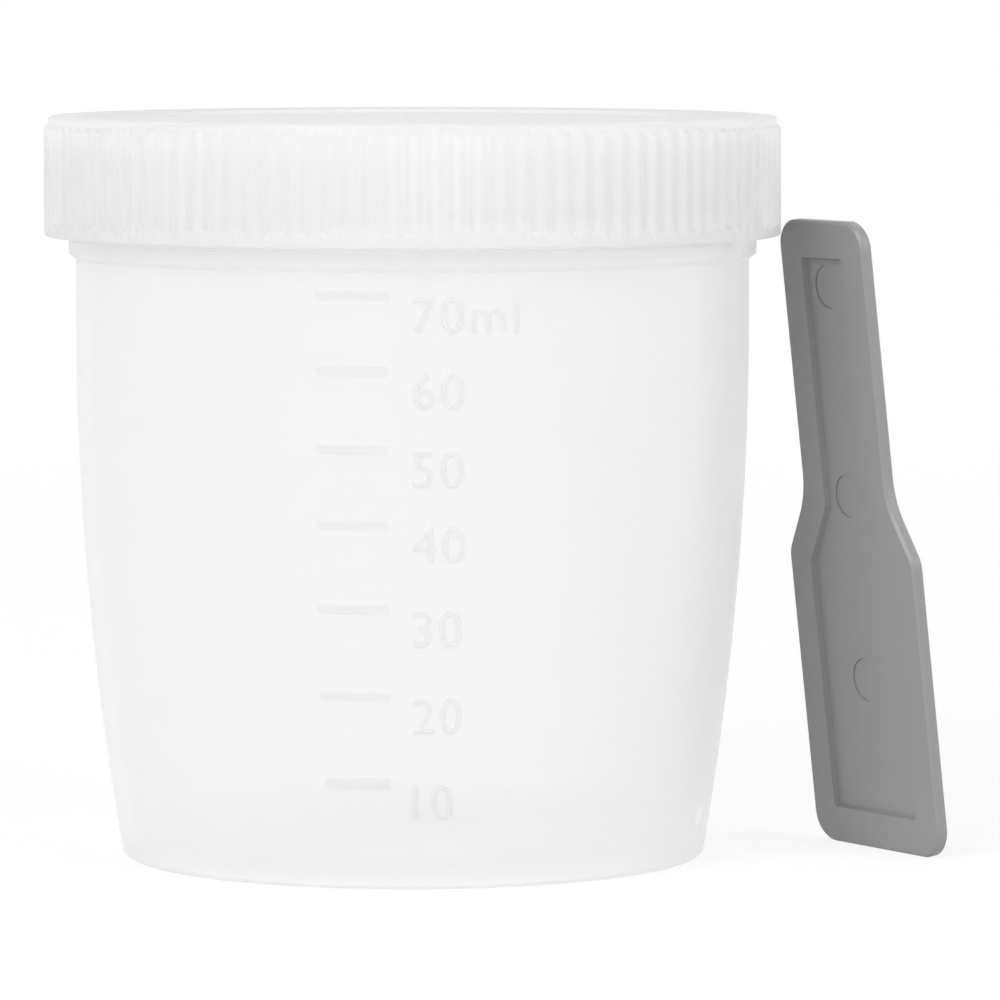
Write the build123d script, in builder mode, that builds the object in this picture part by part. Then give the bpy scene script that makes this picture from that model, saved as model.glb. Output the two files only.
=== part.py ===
import os
from math import cos, pi, radians, sin, sqrt

from build123d import *

os.makedirs("parts", exist_ok=True)

# Specimen container: a moulded jar with fill marks, its knurled screw cap and its sampling spatula.
# All sizes are in millimetres. The origin is the middle of the jar's foot, and +Z runs up its axis.
# The fill marks face -Y, and the spatula leans on the cap at +X.

# Jar wall: straight below the collar, then curving in towards the foot
jar_height = 53.95
body_radius = 25.05
wall = 1.1
straight_length = 5.2
curve_radius = 236.0

# Jar floor: a shallow cone, pushed up in the middle, so that the jar stands on the ring of its foot
floor_edge = 1.55
floor_rise = 0.9
floor_corner = 0.6
foot_corner = 0.5
foot_width = 2.2
push_up_edge = 0.35
push_up_middle = 1.0
gate_radius = 5.6
gate_step = 0.2

# Jar neck: the wall above the collar, which carries the thread
neck_wall = 1.0
neck_length = 7.85
collar_height = 1.1
collar_reach = 0.55
collar_chamfer = 0.4
rim_chamfer = 0.2

# Stacking ribs inside the wall, one at the back and one to each side of the front
rib_drop = 0.6
rib_length = 16.9
rib_width = 0.75
rib_depth = 0.8
rib_spread = 67.0

# Raised fill marks, one for each 10 ml up to 70 ml, by the height of the middle of each
fill_heights = (7.9, 14.2, 20.5, 26.6, 32.0, 37.6, 43.0)
mark_height = 0.55
mark_relief = 0.15
mark_left = 15.3
mark_right = 3.4

# Screw cap: its skirt leaves room for the thread round the neck
thread_room = 1.1
cap_wall = 1.35
cap_plate = 1.2
skirt_gap = 0.2
cap_edge_chamfer = 0.25
cap_lip_chamfer = 0.2
thread_lead_in = 0.4
panel_margin = 7.4
panel_depth = 0.25

# Sealing ring under the cap, which enters the mouth of the jar
seal_clearance = 0.3
seal_width = 0.9
seal_depth = 1.8
seal_chamfer = 0.35

# Knurl round the cap's skirt: V flutes that are open at the top, where the plate is a little smaller than
# their roots, and end below at a plain band
knurl_pitch = 1.54
knurl_depth = 0.3
knurl_width = 0.92
knurl_step = 0.05
knurl_band = 0.9
knurl_top = 0.3

# Spatula: a flat handle that widens to a blade, with a sunk panel on its face. It is kept in the closed jar.
storage_play = 3.8
spatula_thickness = 1.0
handle_width = 10.7
blade_width = 16.0
blade_length = 22.4
shoulder_length = 4.4
handle_corner = 2.0
blade_corner = 2.2
shoulder_round = 2.0
neck_round = 6.0
sunk_margin = 2.75
sunk_depth = 0.4
sunk_corner = 0.3
sunk_draft = 20.0
pin_mark_radius = 1.65
pin_mark_depth = 0.1
blade_pin_height = 12.9
neck_pin_rise = 0.1
top_pin_drop = 5.0
spatula_edge_chamfer = 0.2
level_band = 0.01

# How the spatula stands: on its blade, turned away, with the handle's left edge against the cap's lower rim.
# The gap is taken before the handle's edge and the cap's lip are chamfered, which leaves about 0.3.
spatula_turn = 57.7
spatula_lean = 6.95
lean_gap = 0.1
lean_azimuth = 6.6

# Heights and radii that follow from the sizes above
bore_radius = body_radius - wall
neck_radius = bore_radius + neck_wall
collar_radius = body_radius + collar_reach
collar_top = jar_height - neck_length
collar_bottom = collar_top - collar_height
curve_start = collar_bottom - straight_length
curve_centre = body_radius - curve_radius
rib_top = collar_bottom - rib_drop
rib_bottom = rib_top - rib_length
cap_bottom = collar_top + skirt_gap
cap_top = jar_height + cap_plate
skirt_bore = neck_radius + thread_room
cap_radius = skirt_bore + cap_wall
flute_root = cap_radius - knurl_depth
plate_radius = flute_root - knurl_step
panel_radius = cap_radius - panel_margin
seal_radius = bore_radius - seal_clearance
floor_middle = floor_edge + floor_rise
spatula_length = jar_height - floor_middle - storage_play
neck_height = blade_length + shoulder_length
pin_mark_heights = (blade_pin_height, neck_height + neck_pin_rise, spatula_length - top_pin_drop)


def outer_radius(height):
    """Outside radius of the jar's wall at a height."""
    drop = max(curve_start - height, 0.0)
    return curve_centre + sqrt(curve_radius**2 - drop**2)


def inner_radius(height):
    """Inside radius of the jar's wall at a height."""
    drop = max(curve_start - height, 0.0)
    return curve_centre + sqrt((curve_radius - wall) ** 2 - drop**2)


def floor_height(radius):
    """Height of the floor inside the jar at a radius."""
    return floor_middle - floor_rise * radius / inner_radius(floor_edge)


# Jar
foot_radius = outer_radius(0)
push_up_radius = foot_radius - foot_width

with BuildPart() as jar:
    with BuildSketch(Plane.XZ) as jar_outside:
        with BuildLine():
            Line((0, 0), (foot_radius, 0))
            ThreePointArc(
                (foot_radius, 0),
                (outer_radius(curve_start / 2), curve_start / 2),
                (body_radius, curve_start),
            )
            Polyline(
                (body_radius, curve_start),
                (body_radius, collar_bottom - collar_chamfer),
                (collar_radius, collar_bottom),
                (collar_radius, collar_top),
                (neck_radius, collar_top),
                (neck_radius, jar_height),
                (0, jar_height),
                (0, 0),
            )
        make_face()
        foot_edge = jar_outside.vertices().group_by(Axis.Y)[0].sort_by(Axis.X)[-1]
        fillet(foot_edge, foot_corner)
    revolve(axis=Axis.Z)

    # the inside, down to the floor
    with BuildSketch(Plane.XZ) as jar_inside:
        with BuildLine():
            Polyline((0, floor_middle), (0, jar_height), (bore_radius, jar_height), (bore_radius, curve_start))
            ThreePointArc(
                (bore_radius, curve_start),
                (inner_radius((curve_start + floor_edge) / 2), (curve_start + floor_edge) / 2),
                (inner_radius(floor_edge), floor_edge),
            )
            Line((inner_radius(floor_edge), floor_edge), (0, floor_middle))
        make_face()
        floor_edge_corner = jar_inside.vertices().group_by(Axis.Y)[0]
        chamfer(floor_edge_corner, floor_corner)
    revolve(axis=Axis.Z, mode=Mode.SUBTRACT)

    # the pushed-up underside inside the foot ring
    with BuildSketch(Plane.XZ):
        with BuildLine():
            Polyline(
                (0, push_up_middle),
                (0, 0),
                (push_up_radius, 0),
                (push_up_radius, push_up_edge),
                (0, push_up_middle),
            )
        make_face()
    revolve(axis=Axis.Z, mode=Mode.SUBTRACT)

    # the gate well in the middle of the underside, and its pad on the floor above it
    with BuildSketch(Plane.XY):
        Circle(gate_radius)
    extrude(amount=push_up_middle + gate_step, mode=Mode.SUBTRACT)
    with BuildSketch(Plane.XY.offset(floor_height(gate_radius) - gate_step)):
        Circle(gate_radius)
    extrude(amount=floor_middle + gate_step - floor_height(gate_radius) + gate_step)

    rim_edges = jar.edges().filter_by(GeomType.CIRCLE).group_by(Axis.Z)[-1]
    chamfer(rim_edges, rim_chamfer)

    # ribs grow out of the wall, so each starts inside it and is cut to the wall's own curve
    for rib_angle in (90, 270 - rib_spread, 270 + rib_spread):
        direction = Vector(cos(radians(rib_angle)), sin(radians(rib_angle)), 0)
        rib_plane = Plane(origin=(0, 0, 0), x_dir=direction, z_dir=direction.cross(Vector(0, 0, 1)))
        with BuildSketch(rib_plane):
            with BuildLine():
                tip_bottom = inner_radius(rib_bottom) - rib_depth
                tip_top = bore_radius - rib_depth
                Polyline(
                    (tip_bottom, rib_bottom),
                    (tip_top, rib_top),
                    (bore_radius + wall / 2, rib_top),
                    (inner_radius(rib_bottom) + wall / 2, rib_bottom),
                    (tip_bottom, rib_bottom),
                )
            make_face()
        extrude(amount=rib_width / 2, both=True)

    # fill marks follow the wall round as arcs, at the heights of their volumes
    mark_start = radians(270 - mark_left)
    mark_plane = Plane(
        origin=(0, 0, 0),
        x_dir=(cos(mark_start), sin(mark_start), 0),
        z_dir=(sin(mark_start), -cos(mark_start), 0),
    )
    wall_top = collar_bottom - collar_chamfer
    for height in [middle for middle in fill_heights if middle + mark_height < wall_top]:
        low, high = height - mark_height / 2, height + mark_height / 2
        with BuildSketch(mark_plane):
            with BuildLine():
                Polyline(
                    (outer_radius(low) - wall / 2, low),
                    (outer_radius(low) + mark_relief, low),
                    (outer_radius(high) + mark_relief, high),
                    (outer_radius(high) - wall / 2, high),
                    (outer_radius(low) - wall / 2, low),
                )
            make_face()
        revolve(axis=Axis.Z, revolution_arc=mark_left - mark_right)

jar.part.label = "jar"
export_step(jar.part, "parts/jar.step")

# Screw cap, which seats with its plate on the jar's rim
seal_bottom = jar_height - seal_depth

with BuildPart() as cap:
    with BuildSketch(Plane.XZ) as cap_section:
        with BuildLine():
            Polyline(
                (0, cap_top - panel_depth),
                (panel_radius, cap_top - panel_depth),
                (panel_radius + panel_depth, cap_top),
                (plate_radius, cap_top),
                (plate_radius, cap_top - knurl_top),
                (cap_radius, cap_top - knurl_top - knurl_depth - knurl_step),
                (cap_radius, cap_bottom),
                (skirt_bore + thread_lead_in, cap_bottom),
                (skirt_bore, cap_bottom + thread_lead_in),
                (skirt_bore, jar_height),
                (seal_radius, jar_height),
                (seal_radius, seal_bottom + seal_chamfer),
                (seal_radius - seal_chamfer, seal_bottom),
                (seal_radius - seal_width, seal_bottom),
                (seal_radius - seal_width, jar_height),
                (0, jar_height),
                (0, cap_top - panel_depth),
            )
        make_face()
        plate_corner = cap_section.vertices().group_by(Axis.Y)[-1].sort_by(Axis.X)[-1]
        chamfer(plate_corner, cap_edge_chamfer)
        lip_corner = cap_section.vertices().group_by(Axis.Y)[0].sort_by(Axis.X)[-1]
        chamfer(lip_corner, cap_lip_chamfer)
    revolve(axis=Axis.Z)

    # the knurl's flutes, from the plain band up and out past the plate's edge; each is cut with a V that
    # reaches out of the skirt by as much as it goes in
    with BuildSketch(Plane.XY.offset(cap_bottom + knurl_band)):
        with PolarLocations(flute_root, round(2 * pi * cap_radius / knurl_pitch)):
            Polygon((0, 0), (2 * knurl_depth, knurl_width), (2 * knurl_depth, -knurl_width), align=None)
    extrude(amount=cap_top - cap_bottom - knurl_band, mode=Mode.SUBTRACT)

cap.part.label = "cap"
export_step(cap.part, "parts/cap.step")

# Spatula: its face lies in a plane that is turned about Z and tipped towards the jar
turn, lean = radians(spatula_turn), radians(spatula_lean)
across = Vector(cos(turn), -sin(turn), 0)
towards_jar = Vector(-sin(turn), -cos(turn), 0)
upward = Vector(0, 0, 1) * cos(lean) + towards_jar * sin(lean)
face_normal = towards_jar * cos(lean) - Vector(0, 0, 1) * sin(lean)
rest_radius = cap_radius + lean_gap
rest_point = Vector(
    rest_radius * cos(radians(lean_azimuth)), rest_radius * sin(radians(lean_azimuth)), cap_bottom
)
# the blade's chamfered edge reaches the ground only when its face plane goes this far below it
foot_sink = spatula_edge_chamfer * sin(lean)
# from the cap's rim down along the handle's left edge to its foot, then across to the blade's middle
foot_middle = rest_point - upward * ((cap_bottom + foot_sink) / cos(lean)) + across * (handle_width / 2)
face_plane = Plane(origin=foot_middle, x_dir=across, z_dir=face_normal)

outline_points = (
    (-blade_width / 2, 0),
    (blade_width / 2, 0),
    (blade_width / 2, blade_length),
    (handle_width / 2, neck_height),
    (handle_width / 2, spatula_length),
    (-handle_width / 2, spatula_length),
    (-handle_width / 2, neck_height),
    (-blade_width / 2, blade_length),
)
corner_rounds = (
    (0, blade_corner),
    (blade_length, shoulder_round),
    (neck_height, neck_round),
    (spatula_length, handle_corner),
)

with BuildPart() as spatula:
    with BuildSketch(face_plane) as outline:
        with BuildLine():
            Polyline(*outline_points, close=True)
        make_face()
        for height, corner_round in corner_rounds:
            level = outline.vertices().filter_by(lambda corner: abs(corner.Y - height) < level_band)
            fillet(level, corner_round)
    extrude(amount=-spatula_thickness)
    faces_by_depth = spatula.faces().sort_by(Axis(foot_middle, face_normal))
    chamfer(faces_by_depth[-1].edges() + faces_by_depth[0].edges(), spatula_edge_chamfer)

    # the sunk panel runs parallel to the outline, with drafted walls
    with BuildSketch(face_plane) as sunk_panel:
        with BuildLine():
            Polyline(*outline_points, close=True)
        make_face()
        offset(amount=-sunk_margin, kind=Kind.INTERSECTION)
        fillet(sunk_panel.vertices(), sunk_corner)
    extrude(amount=-sunk_depth, taper=sunk_draft, mode=Mode.SUBTRACT)

    # round marks of the ejector pins in the panel
    with BuildSketch(face_plane.offset(-sunk_depth)):
        for height in pin_mark_heights:
            with Locations((0, height)):
                Circle(pin_mark_radius)
    extrude(amount=-pin_mark_depth, mode=Mode.SUBTRACT)

spatula.part.label = "spatula"
export_step(spatula.part, "parts/spatula.step")
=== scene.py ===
from math import atan2, cos, hypot, pi, radians, sin, sqrt

import bmesh
import bpy
from mathutils import Matrix, Vector


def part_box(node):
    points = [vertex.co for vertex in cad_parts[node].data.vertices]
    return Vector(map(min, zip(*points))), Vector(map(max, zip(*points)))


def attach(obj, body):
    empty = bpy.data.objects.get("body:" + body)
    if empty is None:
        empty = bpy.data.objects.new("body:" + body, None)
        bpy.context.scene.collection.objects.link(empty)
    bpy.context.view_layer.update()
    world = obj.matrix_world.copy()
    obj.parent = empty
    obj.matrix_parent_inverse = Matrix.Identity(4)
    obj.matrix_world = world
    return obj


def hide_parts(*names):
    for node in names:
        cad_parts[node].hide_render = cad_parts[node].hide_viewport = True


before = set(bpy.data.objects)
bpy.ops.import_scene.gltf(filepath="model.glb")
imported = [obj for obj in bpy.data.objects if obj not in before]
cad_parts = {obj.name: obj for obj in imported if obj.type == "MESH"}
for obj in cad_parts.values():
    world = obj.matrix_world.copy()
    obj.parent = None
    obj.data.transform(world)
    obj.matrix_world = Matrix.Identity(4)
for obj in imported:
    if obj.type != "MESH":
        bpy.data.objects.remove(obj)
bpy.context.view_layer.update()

# Camera
# A long lens a little above the cap, tipped down so that the cap's top shows as a thin ellipse.
camera_place = (0.0065, -0.5263, 0.0683)
camera_tip_down = 4.546
camera_lens = 254.4
camera_sensor = 36.0

camera_data = bpy.data.cameras.new("camera")
camera_data.lens = camera_lens
camera_data.sensor_width = camera_sensor
camera = bpy.data.objects.new("camera", camera_data)
camera.location = camera_place
camera.rotation_euler = (radians(90 - camera_tip_down), 0, 0)
bpy.context.scene.collection.objects.link(camera)
bpy.context.scene.camera = camera

# Jar
# The real jar is one injection moulding in natural polypropylene, 1.1 mm thick. Its wall, floor and neck are
# turned from one profile here, and what stands proud of it in the mould is joined on: ribs, marks and thread.
mm = 0.001
jar_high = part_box("jar")[1]
jar_height = jar_high.z
collar_radius = jar_high.x
collar_reach = 0.55 * mm
body_radius = collar_radius - collar_reach
wall = 1.1 * mm
neck_wall = 1.0 * mm
neck_length = 7.85 * mm
collar_height = 1.1 * mm
collar_chamfer = 0.4 * mm
straight_length = 5.2 * mm
curve_radius = 236.0 * mm
floor_edge = 1.55 * mm
floor_rise = 0.9 * mm
foot_width = 2.2 * mm
push_up_edge = 0.35 * mm
push_up_middle = 1.0 * mm
gate_radius = 5.6 * mm
gate_step = 0.2 * mm
floor_rounding = 0.9 * mm
foot_rounding = 0.5 * mm
rim_rounding = 0.25 * mm
neck_rounding = 0.2 * mm
collar_rounding = 0.15 * mm
push_up_rounding = 0.2 * mm
ring_reach = 0.02 * mm
merge_reach = 0.001 * mm
sharp_angle = 35
jar_steps = 256
wall_rows = 20

collar_top = jar_height - neck_length
collar_bottom = collar_top - collar_height
curve_start = collar_bottom - straight_length
bore_radius = body_radius - wall
neck_radius = bore_radius + neck_wall


def wall_radius(height, inset=0.0):
    """Outside radius of the jar's wall at a height, or the radius of a surface inset from it."""
    drop = max(curve_start - height, 0.0)
    return body_radius - curve_radius + sqrt((curve_radius - inset) ** 2 - drop**2)


def floor_height(radius):
    """Height of the floor inside the jar at a radius."""
    return floor_edge + floor_rise * (1 - radius / wall_radius(floor_edge, wall))


def chain(points):
    """A bmesh with one open chain of edges through points of radius and height."""
    made = bmesh.new()
    verts = [made.verts.new((radius, 0.0, height)) for radius, height in points]
    for start, end in zip(verts, verts[1:]):
        made.edges.new((start, end))
    return made


def turn_round(made, steps):
    """Spins a profile once about the Z axis into a closed skin whose faces point outwards."""
    bmesh.ops.spin(
        made,
        geom=made.verts[:] + made.edges[:],
        axis=(0, 0, 1),
        cent=(0, 0, 0),
        angle=2 * pi,
        steps=steps,
        use_merge=True,
    )
    bmesh.ops.remove_doubles(made, verts=made.verts, dist=merge_reach)
    bmesh.ops.recalc_face_normals(made, faces=made.faces)


def on_ring(vert, radius, height):
    """True if a vertex lies on the turned edge at a radius and height."""
    return abs(vert.co.z - height) < ring_reach and abs(hypot(vert.co.x, vert.co.y) - radius) < ring_reach


def round_rings(made, rings, segments=4):
    """Rounds the turned edges at each radius and height in rings, by the radius that goes with it."""
    for (radius, height), rounding in rings:
        edges = [edge for edge in made.edges if all(on_ring(vert, radius, height) for vert in edge.verts)]
        bmesh.ops.bevel(
            made, geom=edges, offset=rounding, affect="EDGES", segments=segments, profile=0.5, material=-1
        )


def finish_piece(name, made, body, sharp=sharp_angle):
    """A smooth-shaded object from a bmesh, riding on its body."""
    mesh = bpy.data.meshes.new(name)
    made.to_mesh(mesh)
    made.free()
    mesh.polygons.foreach_set("use_smooth", [True] * len(mesh.polygons))
    mesh.set_sharp_from_angle(angle=radians(sharp))
    piece = bpy.data.objects.new(name, mesh)
    bpy.context.scene.collection.objects.link(piece)
    if body:
        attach(piece, body)
    return piece


def join_on(piece, additions):
    """Joins closed meshes onto a piece as one skin."""
    for addition in additions:
        union = piece.modifiers.new(addition.name, "BOOLEAN")
        union.operation = "UNION"
        union.solver = "EXACT"
        union.object = addition
    graph = bpy.context.evaluated_depsgraph_get()
    joined = bpy.data.meshes.new_from_object(piece.evaluated_get(graph))
    joined.set_sharp_from_angle(angle=radians(sharp_angle))
    piece.modifiers.clear()
    piece.data = joined
    for addition in additions:
        bpy.data.objects.remove(addition)


def dress(piece, material):
    """Gives a piece one material in place of any other."""
    piece.data.materials.clear()
    piece.data.materials.append(material)


rows = [curve_start * (1 - row / wall_rows) for row in range(wall_rows + 1)]
inner_foot = wall_radius(floor_edge, wall)
push_up_radius = wall_radius(0) - foot_width
jar_profile = [
    (0, floor_height(0) + gate_step),
    (gate_radius, floor_height(0) + gate_step),
    (gate_radius, floor_height(gate_radius)),
    (inner_foot, floor_edge),
    *[(wall_radius(height, wall), height) for height in reversed(rows) if height > floor_edge],
    (bore_radius, jar_height),
    (neck_radius, jar_height),
    (neck_radius, collar_top),
    (collar_radius, collar_top),
    (collar_radius, collar_bottom),
    (body_radius, collar_bottom - collar_chamfer),
    *[(wall_radius(height), height) for height in rows],
    (push_up_radius, 0),
    (push_up_radius, push_up_edge),
    (gate_radius, push_up_middle),
    (gate_radius, push_up_middle + gate_step),
    (0, push_up_middle + gate_step),
]
jar_skin = chain(jar_profile)
turn_round(jar_skin, jar_steps)
round_rings(
    jar_skin,
    [
        ((inner_foot, floor_edge), floor_rounding),
        ((wall_radius(0), 0), foot_rounding),
        ((bore_radius, jar_height), rim_rounding),
        ((neck_radius, jar_height), rim_rounding),
        ((neck_radius, collar_top), neck_rounding),
        ((collar_radius, collar_top), collar_rounding),
        ((collar_radius, collar_bottom), collar_rounding),
        ((push_up_radius, 0), push_up_rounding),
    ],
)
jar = finish_piece("jar_moulding", jar_skin, "jar")
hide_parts("jar")

# the stacking ribs inside the wall
rib_length = 16.9 * mm
rib_drop = 0.6 * mm
rib_width = 0.75 * mm
rib_depth = 0.8 * mm
rib_spread = 67.0
rib_rows = 12
rib_root = wall / 2

ribs = bmesh.new()
for rib_angle in (90, 270 - rib_spread, 270 + rib_spread):
    rib = bmesh.ops.create_grid(ribs, x_segments=1, y_segments=rib_rows, size=0.5)["verts"]
    for vert in rib:
        height = collar_bottom - rib_drop - rib_length * (0.5 - vert.co.y)
        vert.co = (wall_radius(height, wall) - rib_depth, vert.co.x * rib_width, height)
    faces = list({face for vert in rib for face in vert.link_faces})
    extruded = bmesh.ops.extrude_face_region(ribs, geom=faces)["geom"]
    far_side = [item for item in extruded if isinstance(item, bmesh.types.BMVert)]
    bmesh.ops.translate(ribs, verts=far_side, vec=(rib_depth + rib_root, 0, 0))
    turned = Matrix.Rotation(radians(rib_angle), 3, "Z")
    bmesh.ops.rotate(ribs, verts=rib + far_side, cent=(0, 0, 0), matrix=turned)
bmesh.ops.recalc_face_normals(ribs, faces=ribs.faces)
ribs_piece = finish_piece("ribs", ribs, None)

# the fill marks, on the heights of each 10 ml
fill_heights = [height * mm for height in (7.9, 14.2, 20.5, 26.6, 32.0, 37.6, 43.0)]
mark_height = 0.55 * mm
mark_relief = 0.15 * mm
mark_left = 15.3
mark_right = 3.4
mark_steps = 10

marks = bmesh.new()
for height in fill_heights:
    low, high = height - mark_height / 2, height + mark_height / 2
    corners = [
        (wall_radius(low, wall / 2), low),
        (wall_radius(low) + mark_relief, low),
        (wall_radius(high) + mark_relief, high),
        (wall_radius(high, wall / 2), high),
    ]
    start = radians(270 - mark_left)
    verts = [marks.verts.new((radius * cos(start), radius * sin(start), z)) for radius, z in corners]
    face = marks.faces.new(verts)
    bmesh.ops.spin(
        marks,
        geom=[face, *face.edges, *verts],
        axis=(0, 0, 1),
        cent=(0, 0, 0),
        angle=radians(mark_left - mark_right),
        steps=mark_steps,
    )
bmesh.ops.recalc_face_normals(marks, faces=marks.faces)
marks_piece = finish_piece("marks", marks, None)

# the figures beside the marks, cut into the mould in plain type and bent round the wall
figure_height = 2.7 * mm
figure_size = 3.72 * mm
figure_spacing = 1.12
figure_start = 0.65
figure_relief = 0.18 * mm
figure_edge = 0.05 * mm
figure_curve_steps = 6
figure_merge = 0.002 * mm


def figures_on_wall(words, top):
    """Raised words on the wall, to the right of the middle of its front, whose tops are at a height."""
    lettering = bpy.data.curves.new("figures", "FONT")
    lettering.body = words
    lettering.size = figure_size
    lettering.space_character = figure_spacing
    lettering.extrude = (wall / 2 + figure_relief) / 2 - figure_edge
    lettering.bevel_depth = figure_edge
    lettering.offset = -figure_edge
    lettering.bevel_resolution = 1
    lettering.resolution_u = figure_curve_steps
    flat = bpy.data.objects.new("figures", lettering)
    bpy.context.scene.collection.objects.link(flat)
    mesh = bpy.data.meshes.new_from_object(flat.evaluated_get(bpy.context.evaluated_depsgraph_get()))
    bpy.data.objects.remove(flat)
    made = bmesh.new()
    made.from_mesh(mesh)
    bmesh.ops.remove_doubles(made, verts=made.verts, dist=figure_merge)
    bmesh.ops.recalc_face_normals(made, faces=made.faces)
    left = min(vert.co.x for vert in made.verts)
    for vert in made.verts:
        height = top - figure_height + vert.co.y
        angle = radians(270 + figure_start) + (vert.co.x - left) / body_radius
        radius = wall_radius(height) + vert.co.z + figure_relief / 2 - wall / 4
        vert.co = (radius * cos(angle), radius * sin(angle), height)
    return finish_piece("figures", made, None)


figures = [
    figures_on_wall(f"{10 * (index + 1)}" + ("ml" if index == len(fill_heights) - 1 else ""), height)
    for index, height in enumerate(fill_heights)
]

# the thread round the neck, a ridge that climbs to the right and runs out at both ends
thread_pitch = 4.0 * mm
thread_low = 47.4 * mm
thread_width = 1.3 * mm
thread_crest = 0.5 * mm
thread_height = 0.65 * mm
thread_steps = 160
thread_end_reach = 0.3
thread_fade = 7.0
jar_thread_turns = 1.4
jar_thread_start = 0


def thread(name, root, crest, turns, start):
    """A helical ridge from a buried root radius to a crest radius, starting low down at an azimuth."""
    ridge = bmesh.new()
    rings = []
    for step in range(thread_steps + 1):
        along = step / thread_steps
        fade = min(1, thread_end_reach + thread_fade * along, thread_end_reach + thread_fade * (1 - along))
        reach = root + (crest - root) * fade
        middle = thread_low + thread_pitch * turns * along
        angle = radians(start) + 2 * pi * turns * along
        corners = [
            (root, -thread_width / 2),
            (root, thread_width / 2),
            (reach, thread_crest / 2),
            (reach, -thread_crest / 2),
        ]
        rings.append([ridge.verts.new((r * cos(angle), r * sin(angle), middle + z)) for r, z in corners])
    for ring, next_ring in zip(rings, rings[1:]):
        for side in range(len(ring)):
            ridge.faces.new((ring[side - 1], ring[side], next_ring[side], next_ring[side - 1]))
    ridge.faces.new(rings[0])
    ridge.faces.new(rings[-1])
    bmesh.ops.recalc_face_normals(ridge, faces=ridge.faces)
    return finish_piece(name, ridge, None)


jar_thread = thread(
    "jar_thread", neck_radius - neck_wall / 3, neck_radius + thread_height, jar_thread_turns, jar_thread_start
)
join_on(jar, [ribs_piece, marks_piece, jar_thread, *figures])

# the jar's plastic, clear enough to see the floor through the wall
jar_white = 0.91
jar_cloudiness = 0.3
jar_roughness = 0.2
cloud_scale = 60.0
cloud_detail = 3.0
cloud_depth = 0.98
roughness_play = 0.1
edge_blend = 0.25
plastic_ior = 1.49
light_from_behind = 0.55
# painted shade on the marks and figures, in place of the shade their relief gets: a greyer colour and more
# cover
raised_from = 0.03 * mm
raised_slope = 10 / mm
collar_slope = 2 / mm
relief_painted_shade = 0.82
raised_cloudiness = 0.25


class Wire:
    """A socket's value, so that shader maths is written as Python expressions."""

    def __init__(self, finish, socket):
        self.finish = finish
        self.socket = socket

    def maths(self, operation, first, second):
        return self.finish.node("ShaderNodeMath", {"operation": operation}, {0: first, 1: second})["Value"]

    def __add__(self, other):
        return self.maths("ADD", self, other)

    def __radd__(self, other):
        return self.maths("ADD", other, self)

    def __sub__(self, other):
        return self.maths("SUBTRACT", self, other)

    def __rsub__(self, other):
        return self.maths("SUBTRACT", other, self)

    def __mul__(self, other):
        return self.maths("MULTIPLY", self, other)

    def __rmul__(self, other):
        return self.maths("MULTIPLY", other, self)

    def __pow__(self, other):
        return self.maths("POWER", self, other)

    def at_least(self, least):
        return self.maths("MAXIMUM", self, least)

    def zero_to_one(self):
        return self.maths("MINIMUM", self.at_least(0.0), 1.0)


class Finish:
    """The nodes of a material or of the world, added one by one with their settings and inputs."""

    def __init__(self, owner):
        self.owner = owner
        self.owner.use_nodes = True
        self.tree = owner.node_tree
        self.tree.nodes.clear()

    def node(self, kind, settings=None, inputs=None):
        made = self.tree.nodes.new(kind)
        for name, value in (settings or {}).items():
            setattr(made, name, value)
        for name, value in (inputs or {}).items():
            if isinstance(value, Wire):
                self.tree.links.new(value.socket, made.inputs[name])
            else:
                made.inputs[name].default_value = value
        return {socket.name: Wire(self, socket) for socket in made.outputs if socket.enabled}


def plain(tone):
    """A grey of a tone, opaque."""
    return (tone, tone, tone, 1)


def blend(finish, factor, first, second):
    """A colour between two others."""
    inputs = {"Factor": factor, "A": first, "B": second}
    return finish.node("ShaderNodeMix", {"data_type": "RGBA"}, inputs)["Result"]


def painted_shade_on_relief(finish, place):
    """1 on the marks and figures, which stand outside the wall's own curve, and 0 elsewhere: where painted
    shade goes.
    """
    parts = finish.node("ShaderNodeSeparateXYZ", inputs={"Vector": place})
    radius = (parts["X"] * parts["X"] + parts["Y"] * parts["Y"]) ** 0.5
    drop = (curve_start - parts["Z"]).at_least(0.0)
    outside = radius - body_radius + drop * drop * (0.5 / curve_radius)
    below_collar = ((collar_bottom - collar_chamfer - parts["Z"]) * collar_slope).zero_to_one()
    return ((outside - raised_from) * raised_slope).zero_to_one() * below_collar


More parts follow.
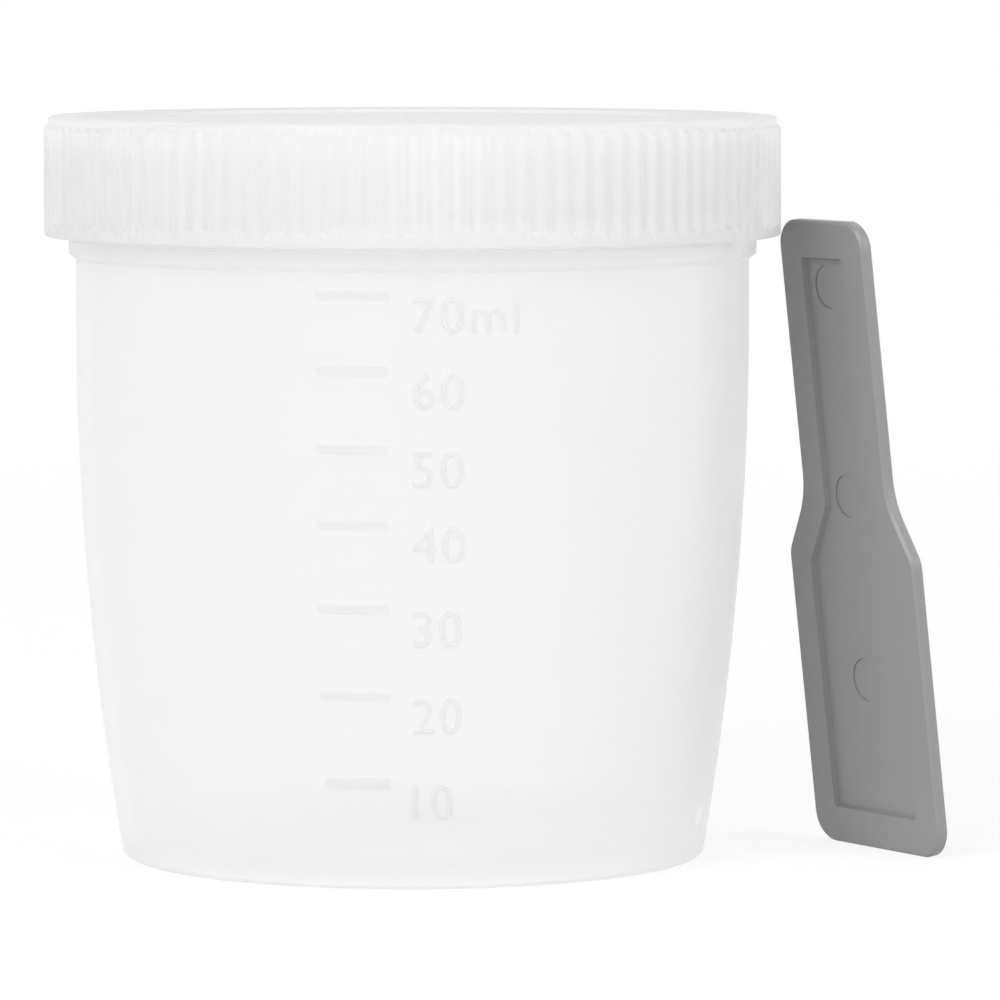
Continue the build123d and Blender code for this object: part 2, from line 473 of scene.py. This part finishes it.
def cloudy_plastic(name, white, cloudiness, roughness, raised=None):
    """Natural polypropylene: each skin is partly cloudy, lit from before and behind, and partly clear. Given
    a mask, the marks and figures get painted shade: a darker colour and more cover.
    """
    finish = Finish(bpy.data.materials.new(name))
    place = finish.node("ShaderNodeTexCoord")["Object"]
    noise = {"Vector": place, "Scale": cloud_scale, "Detail": cloud_detail}
    clouds = finish.node("ShaderNodeTexNoise", inputs=noise)["Fac"]
    facing = finish.node("ShaderNodeLayerWeight", inputs={"Blend": edge_blend})["Facing"]
    tint = blend(finish, clouds, plain(white * cloud_depth), plain(white))
    cover = facing * (1 - cloudiness) + cloudiness
    inner_white = plain(white * (1 + cloud_depth) / 2)
    glow = finish.node("ShaderNodeBsdfTranslucent", inputs={"Color": inner_white})["BSDF"]
    # painted shade: where the mask is 1, the colour and the translucent glow are darker and the skin is less
    # clear
    if raised:
        relief_shade = raised(finish, place)
        tint = blend(finish, relief_shade, tint, plain(white * relief_painted_shade))
        cover = (cover + relief_shade * raised_cloudiness).zero_to_one()
        shaded_glow = finish.node("ShaderNodeBsdfTranslucent", inputs={"Color": plain(white * relief_painted_shade)})["BSDF"]
        glow = finish.node("ShaderNodeMixShader", inputs={0: relief_shade, 1: glow, 2: shaded_glow})["Shader"]
    gloss = {"Base Color": tint, "Roughness": clouds * roughness_play + roughness, "IOR": plastic_ior}
    skin = finish.node("ShaderNodeBsdfPrincipled", inputs=gloss)["BSDF"]
    cloudy = finish.node("ShaderNodeMixShader", inputs={0: light_from_behind, 1: skin, 2: glow})["Shader"]
    clear = finish.node("ShaderNodeBsdfTransparent")["BSDF"]
    surface = finish.node("ShaderNodeMixShader", inputs={0: cover, 1: clear, 2: cloudy})["Shader"]
    finish.node("ShaderNodeOutputMaterial", inputs={"Surface": surface})
    return finish.owner


dress(jar, cloudy_plastic("jar_polypropylene", jar_white, jar_cloudiness, jar_roughness, painted_shade_on_relief))

# enough for a line of sight through both walls, the ribs and the threads
clear_skins = 32
bpy.context.scene.cycles.transparent_max_bounces = clear_skins

# Screw cap
# Moulded in the same plastic, thicker than the jar, with a knurled skirt. Its threads hold it on the neck.
cap_low, cap_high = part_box("cap")
cap_radius = cap_high.x
cap_top = cap_high.z
cap_bottom = cap_low.z
cap_wall = 1.35 * mm
panel_margin = 7.4 * mm
panel_depth = 0.25 * mm
seal_clearance = 0.3 * mm
seal_width = 0.9 * mm
seal_depth = 1.8 * mm
seal_chamfer = 0.35 * mm
thread_lead_in = 0.4 * mm
knurl_count = 112
knurl_steps = 8
knurl_depth = 0.3 * mm
knurl_band = 0.9 * mm
knurl_top = 0.55 * mm
knurl_run = 0.3 * mm
cap_edge_rounding = 0.3 * mm
cap_lip_rounding = 0.25 * mm
cap_sharp_angle = 50
cap_thread_height = 0.75 * mm
cap_thread_turns = 1.1
cap_thread_start = 180
cap_white = 0.85
cap_cloudiness = 0.55
cap_roughness = 0.3

skirt_bore = cap_radius - cap_wall
plate_radius = cap_radius - knurl_depth
panel_radius = cap_radius - panel_margin
seal_radius = bore_radius - seal_clearance
knurl_bottom = cap_bottom + knurl_band
cap_profile = [
    (0, cap_top - panel_depth),
    (panel_radius, cap_top - panel_depth),
    (panel_radius + panel_depth, cap_top),
    (plate_radius, cap_top),
    (plate_radius, cap_top - knurl_top),
    (cap_radius, cap_top - knurl_top - knurl_run),
    (cap_radius, knurl_bottom + knurl_run),
    (cap_radius, knurl_bottom),
    (cap_radius, cap_bottom),
    (skirt_bore + thread_lead_in, cap_bottom),
    (skirt_bore, cap_bottom + thread_lead_in),
    (skirt_bore, jar_height),
    (seal_radius, jar_height),
    (seal_radius, jar_height - seal_depth + seal_chamfer),
    (seal_radius - seal_chamfer, jar_height - seal_depth),
    (seal_radius - seal_width, jar_height - seal_depth),
    (seal_radius - seal_width, jar_height),
    (0, jar_height),
]
cap_skin = chain(cap_profile)
turn_round(cap_skin, knurl_count * knurl_steps)
for vert in cap_skin.verts:
    radius = hypot(vert.co.x, vert.co.y)
    if radius > cap_radius - ring_reach and vert.co.z > knurl_bottom + ring_reach:
        wave = 0.5 + 0.5 * cos(knurl_count * atan2(vert.co.y, vert.co.x))
        share = (radius - knurl_depth * wave) / radius
        vert.co.x *= share
        vert.co.y *= share
round_rings(
    cap_skin, [((plate_radius, cap_top), cap_edge_rounding), ((cap_radius, cap_bottom), cap_lip_rounding)]
)
cap = finish_piece("cap_moulding", cap_skin, "cap", sharp=cap_sharp_angle)
cap_thread_crest = skirt_bore - cap_thread_height
cap_thread = thread(
    "cap_thread", skirt_bore + cap_wall / 3, cap_thread_crest, cap_thread_turns, cap_thread_start
)
join_on(cap, [cap_thread])
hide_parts("cap")
dress(cap, cloudy_plastic("cap_polypropylene", cap_white, cap_cloudiness, cap_roughness))

# Spatula
# One flat moulding in grey polystyrene, satin from its mould. Its solid already has all of its form.
spatula_grey = 0.21
spatula_roughness = 0.4
grain_scale = 400.0
grain_detail = 2.0

satin = Finish(bpy.data.materials.new("spatula_plastic"))
place = satin.node("ShaderNodeTexCoord")["Object"]
noise = {"Vector": place, "Scale": grain_scale, "Detail": grain_detail}
grain = satin.node("ShaderNodeTexNoise", inputs=noise)["Fac"]
gloss = {"Base Color": plain(spatula_grey), "Roughness": grain * roughness_play + spatula_roughness}
surface = satin.node("ShaderNodeBsdfPrincipled", inputs=gloss)["BSDF"]
satin.node("ShaderNodeOutputMaterial", inputs={"Surface": surface})
dress(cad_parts["spatula"], satin.owner)

# Floor
# A sheet of white paper, whiter away from the jar, that keeps the shadow under it.
floor_size = 40.0
floor_tone = 0.9
white_near = 0.78
white_per_metre = 0.5


def seen_directly(finish):
    """1 for what the camera sees, also mirrored or through clear plastic, and 0 for light on the object."""
    ray = finish.node("ShaderNodeLightPath")
    return ray["Is Camera Ray"] + ray["Is Glossy Ray"] + ray["Is Transmission Ray"]


sheet = bmesh.new()
bmesh.ops.create_grid(sheet, x_segments=1, y_segments=1, size=floor_size / 2)
floor = finish_piece("floor", sheet, None)

paper = Finish(bpy.data.materials.new("floor_paper"))
matt = paper.node("ShaderNodeBsdfDiffuse", inputs={"Color": plain(floor_tone)})["BSDF"]
white = paper.node("ShaderNodeEmission", inputs={"Color": plain(1), "Strength": 1.0})["Emission"]
place = paper.node("ShaderNodeTexCoord")["Object"]
away = paper.node("ShaderNodeVectorMath", {"operation": "LENGTH"}, {0: place})["Value"]
whiteness = seen_directly(paper) * (away * white_per_metre + white_near).zero_to_one()
surface = paper.node("ShaderNodeMixShader", inputs={0: whiteness, 1: matt, 2: white})["Shader"]
paper.node("ShaderNodeOutputMaterial", inputs={"Surface": surface})
dress(floor, paper.owner)

# Background and light
# White where it is seen, a soft even light from all round, and three soft boxes.
air_light = 0.52

air = Finish(bpy.data.worlds.new("studio"))
bpy.context.scene.world = air.owner
white = air.node("ShaderNodeBackground", inputs={"Color": plain(1), "Strength": 1.0})["Background"]
soft = air.node("ShaderNodeBackground", inputs={"Color": plain(1), "Strength": air_light})["Background"]
surface = air.node("ShaderNodeMixShader", inputs={0: seen_directly(air), 1: soft, 2: white})["Shader"]
air.node("ShaderNodeOutputWorld", inputs={"Surface": surface})


def soft_box(name, place, size, power):
    """A square area lamp that faces the middle of the jar."""
    lamp = bpy.data.lights.new(name, "AREA")
    lamp.size = size
    lamp.energy = power
    lamp_object = bpy.data.objects.new(name, lamp)
    lamp_object.location = place
    aim = Vector((0, 0, jar_height / 2)) - Vector(place)
    lamp_object.rotation_euler = aim.to_track_quat("-Z", "Y").to_euler()
    bpy.context.scene.collection.objects.link(lamp_object)


soft_box("key", place=(-0.5, -0.8, 0.6), size=0.6, power=9.0)
soft_box("fill", place=(0.8, -0.6, 0.5), size=0.6, power=5.2)
soft_box("top", place=(0.0, 0.5, 0.9), size=0.8, power=2.0)

bpy.context.scene.view_settings.view_transform = "Standard"
